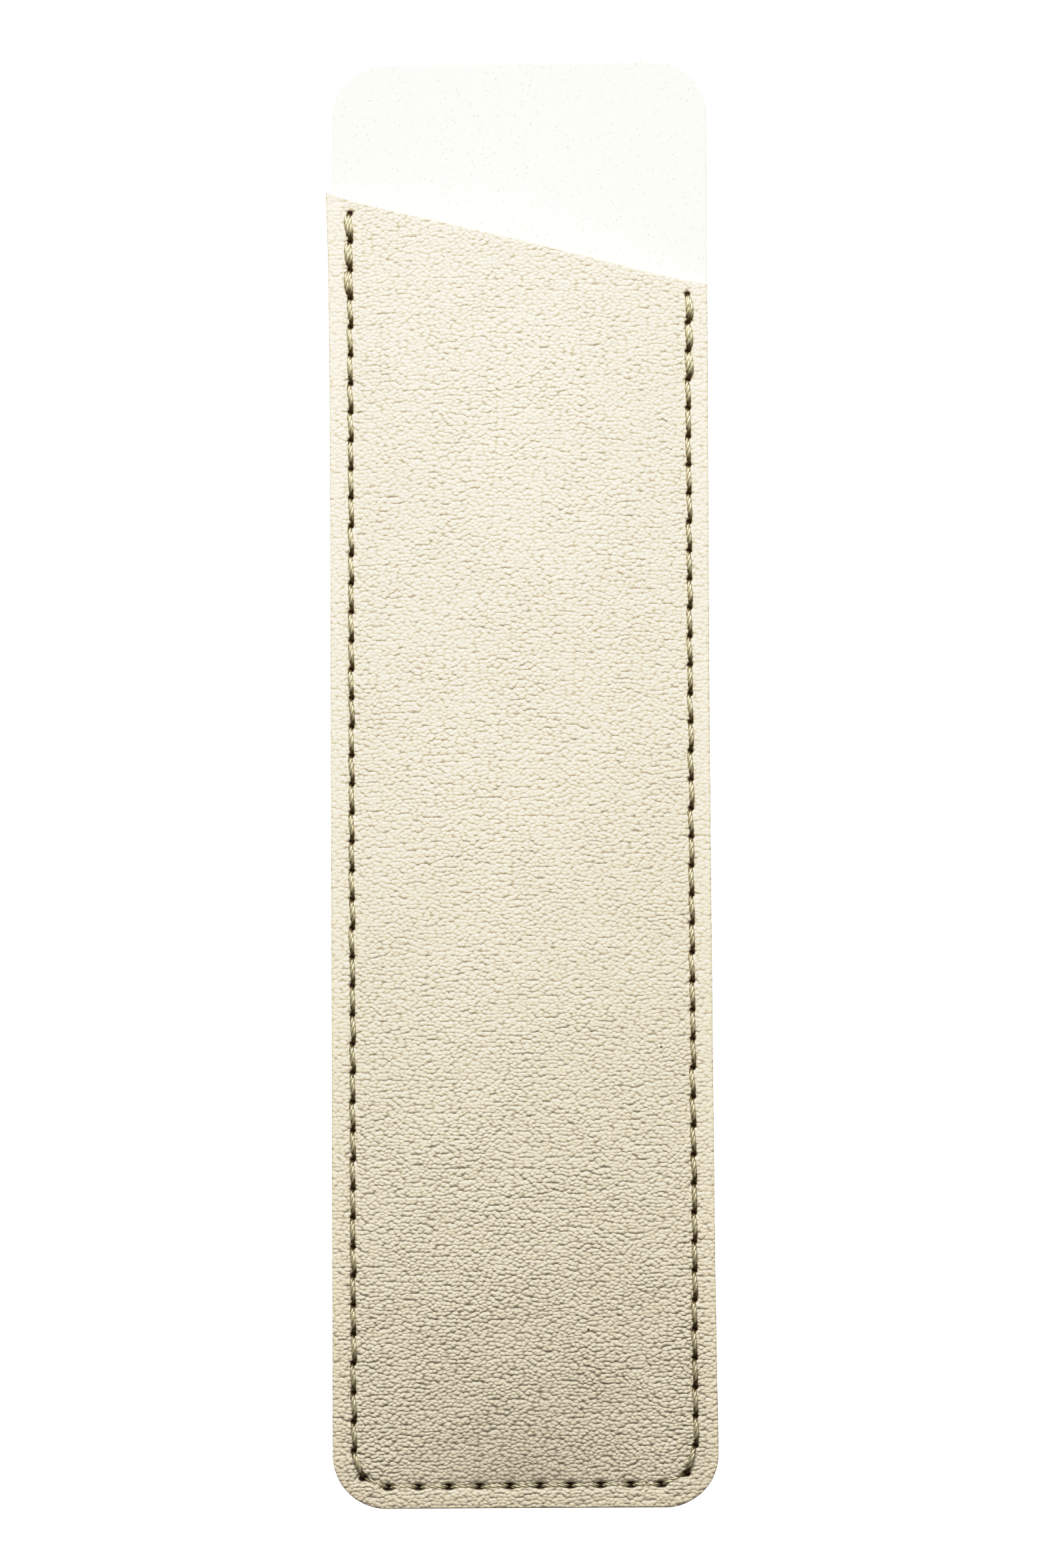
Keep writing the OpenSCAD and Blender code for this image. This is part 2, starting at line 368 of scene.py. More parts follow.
    def inset(self, x, y, front):
        """How much a rounded corner takes off the side at this height."""
        radius = self.panels.corner_radius
        near = y - self.bottom
        if not front:
            near = min(near, self.flap_top(x) - y)
        near = min(max(near, 0), radius)
        return radius - math.sqrt(radius**2 - (radius - near) ** 2)

    def place(self, across, along, front):
        """The point of an outline at these shares of its width and of its length."""
        flat_x = self.panels.width * (across - 0.5)
        y = self.bottom + (self.top(flat_x, front) - self.bottom) * along
        cut = self.inset(flat_x, y, front)
        left = self.side(-1, y, front) + cut
        right = self.side(1, y, front) - cut
        return left + (right - left) * across, y

    def edge_distance(self, x, y, front):
        """Distance to the nearest cut edge."""
        radius = self.panels.corner_radius
        beside = min(x - self.side(-1, y, front), self.side(1, y, front) - x)
        found = beside
        for end, rounded in ((y - self.bottom, True), (self.top(x, front) - y, not front)):
            if rounded and beside < radius and end < radius:
                found = min(found, radius - math.hypot(radius - beside, radius - end))
            else:
                found = min(found, end)
        return max(found, 0)

    def margin(self, x, y):
        """1 at the sewn edges, 0 inside the seam: where the margins are painted paler as painted
        light.
        """
        away = self.edge_distance(x, min(y, self.mouth(x) - self.MOUTH_CLEAR), True)
        return bell(away, self.MARGIN_REACH)

    def seam_distance(self, x, y):
        """Distance to the seam's line."""
        if abs(x) < self.seam_x - self.SEAM_NEAR and y > self.seam_bottom + self.SEAM_NEAR:
            return FAR
        return min(point_to_segment(x, y, a, b) for a, b in zip(self.corners, self.corners[1:]))

    def hole_distance(self, x, y, squash=1.0):
        """Distance to the nearest needle hole, where a squash makes it count for less along x."""
        hole = self.hole_tree.find((x, y, 0))[0]
        return math.hypot((x - hole.x) * squash, y - hole.y)

    def gap(self, x, y):
        """Gap between the panels, zero outside the seam."""
        panels = self.panels
        half = self.seam_x - self.FLAT_STRIP
        if abs(x) >= half:
            return 0.0
        low = self.seam_bottom + self.FLAT_STRIP
        across = math.cos(math.pi / 2 * x / half) ** self.CROWN_POWER
        rise = 1 - (1 - clamped((y - low) / panels.rise)) ** self.RISE_POWER
        share = clamped(y / self.mouth(0))
        return across * rise * (panels.pocket_gap + (panels.mouth_gap - panels.pocket_gap) * share)

    def gap_slope(self, x, y):
        """Slopes of the crown across and along."""
        step = self.SLOPE_STEP
        across = self.gap(x + step, y) - self.gap(x - step, y)
        along = self.gap(x, y + step) - self.gap(x, y - step)
        return across / (2 * step), along / (2 * step), 0

    def along_bottom(self, y):
        """1 on the bottom row, 0 from the corners upwards."""
        return clamped((self.seam_bottom + self.ROW_TOP - y) / self.ROW_FADE)

    def pit(self, x, y):
        """1 in the middle of a needle hole, 0 outside it."""
        low = self.along_bottom(y)
        away = self.hole_distance(x, y, 1 - self.PIT_STRETCH * low)
        return bell(away, self.seam.pit_radius * (1 + self.PIT_GROWTH * low), self.PIT_STEEPNESS)

    def pull(self, x, y):
        """Depth to which the stitches pull the front down."""
        away = self.seam_distance(x, y)
        if away > self.PULL_REACH:
            return 0.0
        low = self.along_bottom(y)
        near_hole = bell(self.hole_distance(x, y), self.HOLE_REACH)
        valley = self.VALLEY + self.VALLEY_AT_HOLE * near_hole + self.VALLEY_AT_ROW * low
        width = self.VALLEY_WIDTH - self.ROW_NARROWING * low
        return valley * bell(away, width) + self.seam.pit_depth * self.pit(x, y)

    def unevenness(self, x, y):
        broad = noise.noise(Vector((x, y, self.BROAD_SLICE)) / self.BROAD_WAVE)
        small = noise.noise(Vector((x, y * self.SMALL_SQUASH, self.SMALL_SLICE)) / self.SMALL_WAVE)
        return self.BROAD_HEIGHT * broad + self.SMALL_HEIGHT * small

    def rounding(self, x, y, front, radius):
        """Height that a softened upper edge loses."""
        away = self.edge_distance(x, y, front)
        if away >= radius:
            return 0.0
        return radius - math.sqrt(radius**2 - (radius - away) ** 2)


class SheetMaker:
    """Makes one sheet of a panel.

    A grid is fitted to the outline and given a thickness, with its lower face at z 0 and its upper
    face at z 1, until lift sets its heights.
    """

    BETWEEN_FACES = 0.5
    PIT_REACH = 1.5 * MM
    LIP_REACH = 0.22 * MM

    def __init__(self, form, front, cell):
        self.form = form
        self.front = front
        panels = form.panels
        middle_top = (panels.mouth_left + panels.mouth_right) / 2
        span = middle_top - form.bottom if front else panels.length
        columns = stations(panels.width, cell)
        rows = stations(span, cell)
        self.mesh = bmesh.new()
        bmesh.ops.create_grid(
            self.mesh, x_segments=len(columns) - 1, y_segments=len(rows) - 1, size=0.5
        )
        for vert in self.mesh.verts:
            across = columns[round((vert.co.x + 0.5) * (len(columns) - 1))] / panels.width
            along = rows[round((vert.co.y + 0.5) * (len(rows) - 1))] / span
            vert.co = (*form.place(across, along, front), 0)
        grown = bmesh.ops.extrude_face_region(
            self.mesh, geom=self.mesh.faces[:], use_keep_orig=True
        )
        upper = [part for part in grown["geom"] if isinstance(part, bmesh.types.BMVert)]
        bmesh.ops.translate(self.mesh, verts=upper, vec=(0, 0, 1))
        bmesh.ops.recalc_face_normals(self.mesh, faces=self.mesh.faces[:])
        for face in self.mesh.faces:
            heights = [vert.co.z for vert in face.verts]
            face.material_index = 1 if max(heights) - min(heights) > self.BETWEEN_FACES else 0

    def refine_seam(self, level):
        """Finer cells along the seam, on the upper (1) or the lower (0) face."""
        near = {
            vert
            for vert in self.mesh.verts
            if abs(vert.co.z - level) < self.BETWEEN_FACES
            and self.form.seam_distance(vert.co.x, vert.co.y) < SEAM_STRIP
        }
        edges = [edge for edge in self.mesh.edges if all(vert in near for vert in edge.verts)]
        bmesh.ops.subdivide_edges(self.mesh, edges=edges, cuts=2, use_grid_fill=True)

    def lift(self, low, high, pit_level=None):
        """Sets the heights of both faces and the attributes that the leather's finish reads."""
        form = self.form
        # Masks for the finish: painted shade in the needle holes, painted light on the margins and
        # edges, and the crown's slope
        pit_shades = self.mesh.verts.layers.float.new("pit")
        lit_margins = self.mesh.verts.layers.float.new("margin")
        lips_and_glints = self.mesh.verts.layers.float.new("lip")
        slopes = self.mesh.verts.layers.float_vector.new("crown")
        for vert in self.mesh.verts:
            x, y = vert.co.x, vert.co.y
            level = 1 if vert.co.z > self.BETWEEN_FACES else 0
            if level == pit_level and form.seam_distance(x, y) < self.PIT_REACH:
                vert[pit_shades] = form.pit(x, y)
            if level and self.front:
                vert[slopes] = form.gap_slope(x, y)
                vert[lit_margins] = form.margin(x, y)
                vert[lips_and_glints] = math.exp(-form.edge_distance(x, y, True) / self.LIP_REACH)
            vert.co.z = high(x, y) if level else low(x, y)

    def finish(self, name, materials):
        mesh = bpy.data.meshes.new(name)
        self.mesh.to_mesh(mesh)
        self.mesh.free()
        mesh.shade_smooth()
        mesh.set_sharp_from_angle(angle=SHARP_ANGLE)
        for material in materials:
            mesh.materials.append(material)
        return linked(name, mesh)


def linked(name, data):
    """A new object in the scene."""
    made = bpy.data.objects.new(name, data)
    bpy.context.scene.collection.objects.link(made)
    return made


def settle(piece, node):
    """Puts a finished piece in the place of its CAD node."""
    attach(piece, BODY)
    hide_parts(node)


class ThreadMaker:
    """Lays a twisted thread of three plies along the seam's stitches."""

    PLIES = 3
    # Distance of a ply from the thread's middle and its own radius, as shares of the thread's
    PLY_OFFSET = 0.48
    PLY_RADIUS = 0.54
    # Thickness of the thread in a needle hole, as a share of its full thickness
    LEG_SHARE = 0.62
    FLOAT_STEPS = 22
    # How far from a hole's middle the thread comes up, and its two places inside the hole
    SURFACING = 0.17 * MM
    LEG_TOP = 0.13 * MM
    LEG_FOOT = 0.1 * MM
    # How far a stitch's ends and its middle stray to the side, and how far its ends slant
    START_WAVER = 0.05 * MM
    END_WAVER = 0.09 * MM
    BOW = 0.04 * MM
    SLANT = 0.09 * MM
    # Share by which a stitch's middle may lie higher or lower than it should
    ARCH_WAVER = 0.15
    # Heights at which the thread goes in: on the front, more on its bottom row, and on the back
    FOOT = -0.32 * MM
    ROW_FOOT = -0.12 * MM
    BACK_FOOT = -0.34 * MM
    BACK_CROWN = -0.285 * MM
    # How much nearer to the mouth a side stitch has its highest point
    LEAN = 0.28
    # Curves along a stitch: a second pass's way aside and the thread's swelling
    ASIDE_POWER = 0.4
    SWELL_POWER = 0.3
    # How much flatter and thinner the bottom row's stitches are
    ROW_FLATNESS = 0.5
    ROW_SQUEEZE = 0.6
    # Direction across the sleeve from which a stitch sinks, and the change to a full sink
    SINK_FROM = 0.5
    SINK_OVER = 0.45

    def __init__(self, form, side, seed):
        self.form = form
        self.side = side
        self.random = random.Random(seed)
        self.radius = form.seam.thread_radius
        self.runs = []

    def height(self, above):
        """Height of a point measured outwards from the front face (1) or the back face (-1)."""
        return self.form.face + above if self.side > 0 else -above

    def crown_and_foot(self, sunk, lift):
        """Heights of a stitch's middle and of its ends above the face."""
        if self.side < 0:
            return self.BACK_CROWN, self.BACK_FOOT
        seam = self.form.seam
        arch = seam.arch * (1 + self.stray(self.ARCH_WAVER))
        return arch * (1 - sunk) - seam.sink * sunk + lift, self.FOOT + self.ROW_FOOT * sunk

    def stray(self, most):
        return self.random.uniform(-most, most)

    def stitch(self, a, b, sunk, aside, lift):
        """Points from hole to hole: place, height above the face, share of the radius, side way."""
        way = (b - a).normalized()
        left = turned_left(way)
        slant = self.SLANT * (1 - sunk)
        start = a + way * self.SURFACING + left * (self.stray(self.START_WAVER) - slant)
        end = b - way * self.SURFACING + left * (self.stray(self.END_WAVER) + slant)
        bow = self.stray(self.BOW)
        crown, foot = self.crown_and_foot(sunk, lift)
        deep = -self.form.panel
        points = [
            (a + way * self.LEG_FOOT, deep, self.LEG_SHARE, left),
            (a + way * self.LEG_TOP, deep / 2, self.LEG_SHARE, left),
        ]
        lean = 1 - self.LEAN * abs(way.y)
        most_swell = (1 - self.LEG_SHARE) * (1 - self.ROW_SQUEEZE * sunk)
        for k in range(self.FLOAT_STEPS + 1):
            share = k / self.FLOAT_STEPS
            fallen = (1 - share if way.y > 0 else share) ** lean
            arch = 4 * fallen * (1 - fallen)
            place = start.lerp(end, share) + left * (bow * arch + aside * arch**self.ASIDE_POWER)
            above = foot + (crown - foot) * arch ** (1 - self.ROW_FLATNESS * sunk)
            swell = self.LEG_SHARE + most_swell * arch**self.SWELL_POWER
            points.append((place, above, swell, left))
        points += [
            (b - way * self.LEG_TOP, deep / 2, self.LEG_SHARE, left),
            (b - way * self.LEG_FOOT, deep, self.LEG_SHARE, left),
        ]
        return points

    def add_run(self, holes, aside=0.0, lift=0.0):
        run = []
        for a, b in zip(holes, holes[1:]):
            way = (b - a).normalized()
            sunk = clamped((abs(way.x) - self.SINK_FROM) / self.SINK_OVER)
            run += self.stitch(a, b, sunk, aside, lift)
        self.runs.append(run)

    def ply_splines(self, curve):
        """Winds the plies round each run's centre line."""
        twist = self.form.seam.twist
        for run in self.runs:
            centres = [Vector((*place, self.height(above))) for place, above, _, _ in run]
            travelled = [0.0]
            for a, b in zip(centres, centres[1:]):
                travelled.append(travelled[-1] + (b - a).length)
            last = len(run) - 1
            for ply in range(self.PLIES):
                spline = curve.splines.new("POLY")
                spline.points.add(last)
                for k, (_, _, share, left) in enumerate(run):
                    way = (centres[min(k + 1, last)] - centres[max(k - 1, 0)]).normalized()
                    across = Vector((*left, 0))
                    up = way.cross(across).normalized()
                    turn = 2 * math.pi * (travelled[k] / twist + ply / self.PLIES)
                    offset = self.radius * share * self.PLY_OFFSET
                    place = centres[k] + offset * (math.cos(turn) * across + math.sin(turn) * up)
                    spline.points[k].co = (*place, 1)
                    spline.points[k].radius = share

    def finish(self, name, material, detail):
        """Turns the plies into one mesh, with finer plies for more detail."""
        curve = bpy.data.curves.new(name, "CURVE")
        curve.dimensions = "3D"
        curve.bevel_depth = self.radius * self.PLY_RADIUS
        curve.bevel_resolution = detail
        curve.use_fill_caps = True
        self.ply_splines(curve)
        drawn = linked(name, curve)
        depsgraph = bpy.context.evaluated_depsgraph_get()
        mesh = bpy.data.meshes.new_from_object(drawn.evaluated_get(depsgraph))
        bpy.data.objects.remove(drawn)
        bpy.data.curves.remove(curve)
        shape = bmesh.new()
        shape.from_mesh(mesh)
        bmesh.ops.remove_doubles(shape, verts=shape.verts[:], dist=DOUBLES)
        bmesh.ops.recalc_face_normals(shape, faces=shape.faces[:])
        shape.to_mesh(mesh)
        shape.free()
        mesh.name = name
        mesh.shade_smooth()
        mesh.materials.clear()
        mesh.materials.append(material)
        return linked(name, mesh)


class Wire:
    """An output socket that takes part in Python arithmetic. Each step adds a Math node."""

    def __init__(self, finish, socket):
        self.finish = finish
        self.socket = socket

    def __add__(self, other):
        return self.finish.math("ADD", self, other)

    def __radd__(self, other):
        return self.finish.math("ADD", other, self)

    def __sub__(self, other):
        return self.finish.math("SUBTRACT", self, other)

    def __rsub__(self, other):
        return self.finish.math("SUBTRACT", other, self)

    def __mul__(self, other):
        return self.finish.math("MULTIPLY", self, other)

    def __rmul__(self, other):
        return self.finish.math("MULTIPLY", other, self)

    def __pow__(self, other):
        return self.finish.math("POWER", self, other)

    def __rpow__(self, other):
        return self.finish.math("POWER", other, self)


class Finish:
    """A material under construction."""

    def __init__(self, name):
        self.material = bpy.data.materials.new(name)
        self.material.use_nodes = True
        self.tree = self.material.node_tree
        self.tree.nodes.clear()

    def feed(self, socket, value):
        if isinstance(value, Wire):
            self.tree.links.new(value.socket, socket)
        elif socket.type == "RGBA" and len(value) == 3:
            socket.default_value = (*value, 1)
        else:
            socket.default_value = value

    def node(self, kind, settings=None, sockets=None):
        """A node with its settings made first, then the values or links of its sockets."""
        made = self.tree.nodes.new(kind)
        for key, value in (settings or {}).items():
            setattr(made, key, value)
        for key, value in (sockets or {}).items():
            self.feed(made.inputs[key], value)
        return made

    def wire(self, kind, output, settings=None, sockets=None):
        return Wire(self, self.node(kind, settings, sockets).outputs[output])

    def math(self, operation, *values):
        return self.wire("ShaderNodeMath", 0, {"operation": operation}, dict(enumerate(values)))

    def vector(self, operation, *values, scale=None):
        sockets = dict(enumerate(values))
        if scale is not None:
            sockets["Scale"] = scale
        output = "Value" if operation == "DOT_PRODUCT" else "Vector"
        return self.wire("ShaderNodeVectorMath", output, {"operation": operation}, sockets)

    def axis(self, name, place):
        return self.wire("ShaderNodeSeparateXYZ", name, None, {"Vector": place})

    def mix(self, share, low, high):
        return self.wire("ShaderNodeMix", 2, {"data_type": "RGBA"}, {0: share, 6: low, 7: high})

    def step(self, value, low, high, to_low=0.0, to_high=1.0):
        """Smooth step of a value from low to high."""
        sockets = {"Value": value, 1: low, 2: high, 3: to_low, 4: to_high}
        return self.wire("ShaderNodeMapRange", 0, {"interpolation_type": "SMOOTHSTEP"}, sockets)

    def millimetres(self):
        """Object coordinates in millimetres."""
        place = self.wire("ShaderNodeTexCoord", "Object")
        return self.vector("SCALE", place, scale=1 / MM)

    def noise(self, place, scale, detail=2.0, rough=0.5, output="Fac"):
        sockets = {"Vector": place, "Scale": scale, "Detail": detail, "Roughness": rough}
        return self.wire("ShaderNodeTexNoise", output, None, sockets)

    def cells(self, place, size, feature="F1", randomness=1.0):
        """Distances in a pattern of flat cells of this width and height."""
        scaled = self.vector("MULTIPLY", place, (1 / size[0], 1 / size[1], 0))
        settings = {"voronoi_dimensions": "2D", "feature": feature}
        sockets = {"Vector": scaled, "Scale": 1.0, "Randomness": randomness}
        return self.wire("ShaderNodeTexVoronoi", "Distance", settings, sockets)

    def wander(self, place, scale, amount):
        """Coordinates pushed about by soft noise."""
        push = self.vector("SUBTRACT", self.noise(place, scale, output="Color"), (0.5, 0.5, 0.5))
        return self.vector("ADD", place, self.vector("MULTIPLY", push, amount))

    def attribute(self, name, output="Fac"):
        return self.wire("ShaderNodeAttribute", output, {"attribute_name": name})

    def bump(self, height, normal=None):
        """Normal of a height that is given in millimetres."""
        sockets = {"Height": height, "Distance": MM}
        if normal:
            sockets["Normal"] = normal
        return self.wire("ShaderNodeBump", 0, None, sockets)

    def flatter_normal(self, share):
        """The surface's normal with this share of the crown's slope taken out."""
        normal = self.wire("ShaderNodeNewGeometry", "Normal")
        facing = self.vector("DOT_PRODUCT", normal, (0, 0, 1))
        slope = self.vector("SCALE", self.attribute("crown", "Vector"), scale=facing * share)
        return self.vector("NORMALIZE", self.vector("ADD", normal, slope))

    def surface(self, sockets):
        shader = self.wire("ShaderNodeBsdfPrincipled", 0, None, sockets)
        self.node("ShaderNodeOutputMaterial", None, {"Surface": shader})
        return self.material


def leather_finish(finish, colours):
    """Small wrinkles inside larger pebbles, deeper towards the bottom seam, with painted shade in
    the creases and needle holes and painted light along the margins and edges.
    """
    place = finish.millimetres()
    pushed = finish.wander(place, 0.45, (0.7, 0.4, 0))
    pushed = finish.wander(pushed, 1.6, (0.12, 0.1, 0))
    dome = 1 - finish.cells(pushed, PEBBLE) ** 2.0
    border = finish.step(finish.cells(pushed, PEBBLE, "DISTANCE_TO_EDGE"), 0.0, 0.2)
    wrinkle = 1 - finish.cells(pushed, WRINKLE, randomness=0.85) ** 2.0
    patchy = finish.step(finish.noise(place, 0.22), 0.3, 0.7, 0.85, 1.12)
    broken = finish.step(finish.noise(pushed, 0.8), 0.36, 0.6, 0.35, 1.0)
    lift = PEBBLE_LIFT * dome + BORDER_LIFT * border * broken + WRINKLE_LIFT * wrinkle
    lift = lift + FINE_LIFT * finish.noise(place, 4.0, 3.0)
    depth = finish.step(finish.axis("Y", place), *GRAIN_DEPTHS)
    rim = finish.attribute("margin")
    hollow = (1 - border) * broken
    shade = finish.step(finish.noise(place, 0.09, 3.0), 0.3, 0.7, 0.0, 0.09)
    tone = finish.mix(shade, colours.leather, colours.crease_tone_and_shade)
    # Painted light: paler margins along the sewn edges
    tone = finish.mix(rim, tone, colours.margin)
    # Painted highlight along the rounded cut edges, partly the pale raw edge
    tone = finish.mix(0.7 * finish.attribute("lip"), tone, colours.lip)
    # Painted shade in the creases and wrinkle hollows, partly the darker tone real creases have
    tone = finish.mix(0.25 * hollow + 0.6 * (1 - wrinkle), tone, colours.crease_tone_and_shade)
    # Painted shade in the needle holes' dimples
    tone = finish.mix(finish.step(finish.attribute("pit"), 0.14, 0.55), tone, colours.pit)
    flat_place = finish.vector("MULTIPLY", place, (1, 1, 0))
    for x, y in SPECKS:
        away = finish.vector("SUBTRACT", flat_place, (x, y, 0))
        speck = finish.step(finish.vector("DOT_PRODUCT", away, away), 0.028, 0.01)
        tone = finish.mix(speck, tone, colours.pit)
    height = lift * patchy * depth * (1 - 0.4 * rim)
    return finish.surface(
        {
            "Base Color": tone,
            "Roughness": 0.5 + 0.14 * hollow,
            "Specular IOR Level": 0.42,
            "Normal": finish.bump(height, finish.flatter_normal(0.8)),
        }
    )


def edge_finish(finish, colours):
    """Pale fibres that run along the cut."""
    place = finish.vector("MULTIPLY", finish.millimetres(), (1, 1, 2.2))
    fibres = finish.noise(place, 5.0, 4.0, 0.65)
    tone = finish.mix(finish.step(fibres, 0.35, 0.7, 0.0, 0.4), colours.cut_edge, colours.crease_tone_and_shade)
    return finish.surface(
        {"Base Color": tone, "Roughness": 0.85, "Normal": finish.bump(0.03 * fibres)}
    )


def lining_finish(finish, colours):
    """A soft nap with fine pores scattered over it."""
    place = finish.millimetres()
    spread = finish.wander(place, 1.1, (0.9, 0.9, 0))
    spots = finish.step(finish.cells(spread, PORE_SPACING, randomness=0.9), 0.13, 0.05)
    pore = spots * finish.step(finish.noise(place, 0.6), 0.32, 0.6)
    nap = finish.noise(place, 5.5, 5.0, 0.7)
    tone = finish.mix(finish.step(nap, 0.3, 0.7, 0.0, 0.06), colours.lining, colours.pore)
    tone = finish.mix(0.6 * pore, tone, colours.pore)
    return finish.surface(
        {
            "Base Color": tone,
            "Roughness": 0.92,
            "Specular IOR Level": 0.2,
            "Normal": finish.bump(0.018 * nap - 0.03 * pore),
        }
    )


def thread_finish(finish, colours):
    """Glossy filaments, with painted shade where the thread dives into the leather and in the
    grooves between the plies.
    """
    place = finish.millimetres()
    drawn = finish.wire("ShaderNodeUVMap", 0, {"uv_map": "UVMap"})
    streaks = finish.noise(finish.vector("MULTIPLY", drawn, (250.0, 30.0, 0)), 1.0, 3.0, 0.6)
    fuzz = finish.noise(place, 7.0, 3.0)
    height = finish.axis("Z", place)
    bottom_row = finish.step(finish.axis("Y", place), *ROW_START)
    unshaded_in_front = finish.step(height + ROW_LIFT * bottom_row, *UNSHADED_IN_FRONT)
    unshaded_behind = finish.step(height, *UNSHADED_BEHIND)
    # Painted shade in the grooves between the fibres and plies
    groove = finish.step(streaks, 0.4, 0.7, 0.0, 0.6)
    tone = finish.mix(groove, colours.thread, colours.thread_painted_shade)
    # Painted shade where the thread lies low and dives into the leather
    tone = finish.mix(unshaded_in_front + unshaded_behind, colours.thread_painted_shade, tone)
    return finish.surface(
        {
            "Base Color": tone,
            "Metallic": 0.5,
            "Roughness": 0.36 + 0.1 * fuzz,
            "Normal": finish.bump(0.003 * streaks + 0.006 * fuzz),
        }
    )


def floor_finish(finish):
    """White enough to show no shadow."""
    return finish.surface(
        {
            "Base Color": (0.93, 0.93, 0.93),
            "Roughness": 0.9,
            "Specular IOR Level": 0.1,
            "Emission Color": (1, 1, 1),
            "Emission Strength": 2.2,
        }
    )


def shared(name, maker):
    """A material that several pieces share, made once."""
    colours = bpy.context.scene.pen_sleeve_finish
    return bpy.data.materials.get(name) or maker(Finish(name), colours)


def leather_materials():
    """The grain for a sheet's faces and the fibres for its cut edges."""
    return [shared("pebbled_leather", leather_finish), shared("pale_cut_edge", edge_finish)]


def lining_materials():
    return [shared("off_white_nap", lining_finish)] * 2


class PENSLEEVE_OT_front_leather(bpy.types.Operator):
    """Grained outer sheet of the front panel, crowned over the pocket"""

    bl_idname = "pen_sleeve.front_leather"
    bl_label = "Front leather"

    # Radius of the softened edge at the mouth, what the sides add, and how far the mouth's reaches
    MOUTH_SOFTNESS = 0.1 * MM
    SIDE_SOFTNESS = 0.16 * MM
    MOUTH_REACH = 0.3 * MM

    def execute(self, context):
        form = SleeveForm(context.scene)
        maker = SheetMaker(form, True, LEATHER_CELL)
        maker.refine_seam(1)
        joint = form.face - form.panels.leather + LAYER_GAP

        def high(x, y):
            from_mouth = min((form.mouth(x) - y) / self.MOUTH_REACH, 1)
            softness = self.MOUTH_SOFTNESS + self.SIDE_SOFTNESS * from_mouth
            smooth = form.face + form.gap(x, y) - form.rounding(x, y, True, softness)
            return smooth + form.unevenness(x, y) - form.pull(x, y)

        maker.lift(lambda x, y: joint + form.gap(x, y), high, pit_level=1)
        piece = maker.finish("dressed_front_leather", leather_materials())
        settle(piece, "front_leather")
        return {"FINISHED"}


class PENSLEEVE_OT_front_lining(bpy.types.Operator):
    """Napped inner sheet of the front panel"""

    bl_idname = "pen_sleeve.front_lining"
    bl_label = "Front lining"

    def execute(self, context):
        form = SleeveForm(context.scene)
        maker = SheetMaker(form, True, LINING_CELL)
        joint = form.panel + form.panels.lining
        maker.lift(
            lambda x, y: form.panel + LAYER_GAP + form.gap(x, y),
            lambda x, y: joint + form.gap(x, y),
        )
        piece = maker.finish("dressed_front_lining", lining_materials())
        settle(piece, "front_lining")
        return {"FINISHED"}


class PENSLEEVE_OT_back_leather(bpy.types.Operator):
    """Grained outer sheet of the back panel, with the grooves of the bobbin side"""

    bl_idname = "pen_sleeve.back_leather"
    bl_label = "Back leather"

    EDGE_SOFTNESS = 0.12 * MM
    GROOVE_DEPTH = 0.57 * MM
    GROOVE_REACH = 0.33 * MM
    GROOVE_STEEPNESS = 4

    def execute(self, context):
        form = SleeveForm(context.scene)
        maker = SheetMaker(form, False, LEATHER_CELL)
        maker.refine_seam(0)

        def low(x, y):
            groove = bell(form.seam_distance(x, y), self.GROOVE_REACH, self.GROOVE_STEEPNESS)
            softened = form.rounding(x, y, False, self.EDGE_SOFTNESS)
            return self.GROOVE_DEPTH * groove + softened

        maker.lift(low, lambda x, y: form.panels.leather, pit_level=0)
        piece = maker.finish("dressed_back_leather", leather_materials())
        settle(piece, "back_leather")
        return {"FINISHED"}


class PENSLEEVE_OT_back_lining(bpy.types.Operator):
    """Napped inner sheet of the back panel, which shows on the flap"""

    bl_idname = "pen_sleeve.back_lining"
    bl_label = "Back lining"

    EDGE_SOFTNESS = 0.16 * MM

    def execute(self, context):
        form = SleeveForm(context.scene)
        maker = SheetMaker(form, False, LINING_CELL)
        maker.lift(
            lambda x, y: form.panels.leather + LAYER_GAP,
            lambda x, y: form.panel - form.rounding(x, y, False, self.EDGE_SOFTNESS),
        )
        piece = maker.finish("dressed_back_lining", lining_materials())
        settle(piece, "back_lining")
        return {"FINISHED"}


class PENSLEEVE_OT_threads(bpy.types.Operator):
    """Needle thread on the front and bobbin thread on the back, each of three twisted plies"""

    bl_idname = "pen_sleeve.threads"
    bl_label = "Threads"

    # How far the second passes lie to the side of the first, and above it
    LEFT_TACK = {"aside": -0.34 * MM, "lift": 0.05 * MM}
    RIGHT_TACK = {"aside": 0.3 * MM, "lift": 0.06 * MM}

    def execute(self, context):
        form = SleeveForm(context.scene)
        stitches = form.seam.tack_stitches
        thread = shared("olive_filament", thread_finish)

        needle = ThreadMaker(form, side=1, seed=8)
        needle.add_run(form.holes)
        needle.add_run(form.holes[: stitches + 1], **self.LEFT_TACK)
        needle.add_run(form.holes[: -stitches - 2 : -1], **self.RIGHT_TACK)
        piece = needle.finish("twisted_needle_thread", thread, detail=1)
        settle(piece, "needle_thread")

        bobbin = ThreadMaker(form, side=-1, seed=6)
        bobbin.add_run(form.holes)
        piece = bobbin.finish("twisted_bobbin_thread", thread, detail=0)
        settle(piece, "bobbin_thread")
        return {"FINISHED"}


